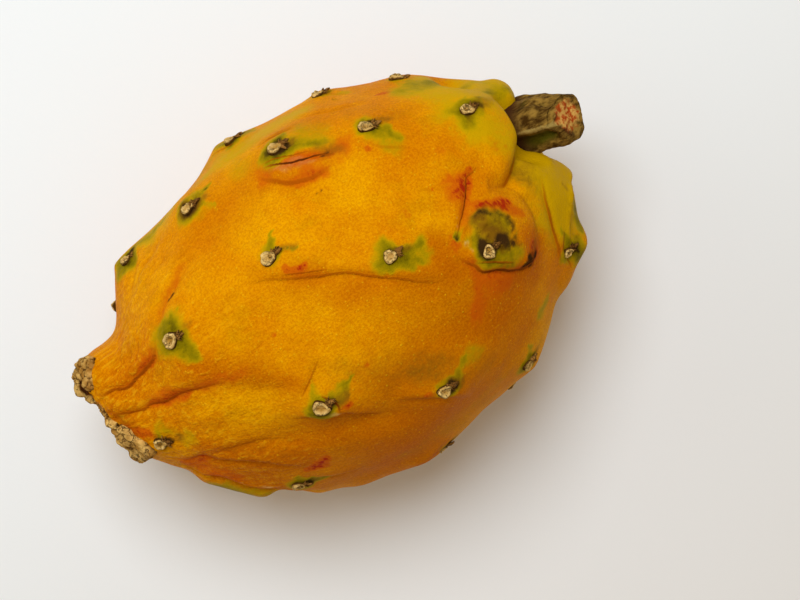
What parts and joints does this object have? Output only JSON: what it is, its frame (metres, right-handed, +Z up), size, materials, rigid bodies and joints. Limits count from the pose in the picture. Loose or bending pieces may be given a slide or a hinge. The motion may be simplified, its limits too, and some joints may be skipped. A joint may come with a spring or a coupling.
{
  "type": "dragon fruit",
  "caption": "Whole yellow dragon fruit lying on its side, oval with low spined tubercles, a short cut stem at one end and a dry flower remnant at the other.",
  "frame": {"origin": "middle of the flat spot on the underside, where the fruit rests", "axes": "+X from the flower end to the stem end, +Z up"},
  "size_m": [0.1043, 0.0688, 0.0597],
  "materials": {
    "fruit_skin": "satin",
    "stem_bark": "matte",
    "dry_flower": "matte"
  },
  "bodies": {
    "root": {"fruit_body": "fruit_skin", "stem": "stem_bark", "flower_remnant": "dry_flower"}
  },
  "joints": []
}
